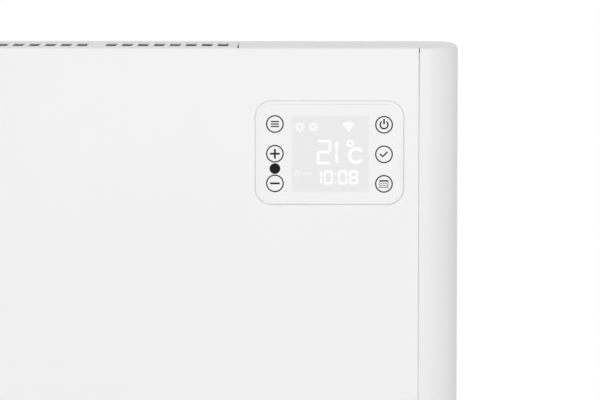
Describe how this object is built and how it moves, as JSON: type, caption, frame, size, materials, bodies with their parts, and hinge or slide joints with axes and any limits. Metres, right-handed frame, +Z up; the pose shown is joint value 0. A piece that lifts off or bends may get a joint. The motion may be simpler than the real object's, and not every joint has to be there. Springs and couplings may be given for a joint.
{
  "type": "wall panel convector heater",
  "caption": "Slim wall-hung convector heater with a flat steel front, moulded ends, a slotted air outlet along the top and a touch control unit with a display, hung on a steel bracket.",
  "frame": {"origin": "on the wall, at the middle of the back face of the bracket's upper rail, on the heater's centre line", "axes": "+X to the right of someone who faces the heater, +Y into the wall, +Z up"},
  "size_m": [0.6429, 0.1036, 0.433],
  "materials": {
    "white_steel": "white powder coat, fine satin",
    "white_plastic": "moulded, satin",
    "natural_nylon": "moulded, satin",
    "gloss_white": "polished",
    "display_glass": "pale display glass",
    "galvanised": "zinc coated sheet",
    "extruded_aluminium": "as extruded",
    "bright_steel": "bright",
    "ceramic": "unglazed",
    "black_plastic": "moulded, satin",
    "black_rubber": "moulded",
    "board_laminate": "green solder mask",
    "transformer_tape": "yellow tape over ferrite",
    "red_insulation": "silicone sleeve",
    "grey_insulation": "silicone sleeve",
    "green_insulation": "green and yellow sleeve"
  },
  "bodies": {
    "wall_bracket": {"bracket_upright_left": "galvanised", "bracket_upright_right": "galvanised", "bracket_rail_upper": "galvanised", "bracket_rail_lower": "galvanised"},
    "heater": {"front_panel": "white_steel", "rear_panel": "white_steel", "top_grille": "white_steel", "bottom_grille": "white_steel", "right_end_housing": "white_plastic", "left_end_cap": "white_plastic", "control_tray": "white_plastic", "lcd_backlight": "white_plastic", "lead_socket": "white_plastic", "signal_socket": "white_plastic", "sensor_saddle": "white_plastic", "terminal_block": "natural_nylon", "control_bezel": "gloss_white", "touch_overlay": "gloss_white", "lcd_panel": "display_glass", "partition_shield": "galvanised", "element_carrier_left": "galvanised", "element_carrier_right": "galvanised", "heat_shield": "galvanised", "cutout_clip": "galvanised", "element_extrusion": "extruded_aluminium", "element_rod": "bright_steel", "radio_module": "bright_steel", "touch_spring_mode": "bright_steel", "touch_spring_plus": "bright_steel", "touch_spring_minus": "bright_steel", "touch_spring_power": "bright_steel", "touch_spring_select": "bright_steel", "touch_spring_program": "bright_steel", "carrier_bush_left": "ceramic", "carrier_bush_right": "ceramic", "element_terminal_left": "ceramic", "element_terminal_right": "ceramic", "thermal_cutout": "black_plastic", "mains_switch_body": "black_plastic", "relay_live": "black_plastic", "relay_neutral": "black_plastic", "filter_capacitor": "black_plastic", "cable_gland": "black_plastic", "room_sensor": "black_plastic", "partition_grommet": "black_rubber", "control_board": "board_laminate", "power_board": "board_laminate", "supply_transformer": "transformer_tape", "lead_live_in": "red_insulation", "lead_live_switched": "red_insulation", "lead_element_right": "grey_insulation", "lead_element_left": "grey_insulation", "lead_cutout": "grey_insulation", "control_lead": "grey_insulation", "earth_lead": "green_insulation"},
    "rocker": {"mains_switch_rocker": "black_plastic"}
  },
  "joints": [
    {"name": "heater_lift", "type": "slide", "parent": "wall_bracket", "child": "heater", "axis": [0, 0, 1], "range_m": [0, 0.01]},
    {"name": "mains_switch", "type": "hinge", "parent": "heater", "child": "rocker", "pos_m": [0.3178, -0.069, -0.273], "axis": [0, 1, 0], "range_deg": [0, 22]}
  ]
}
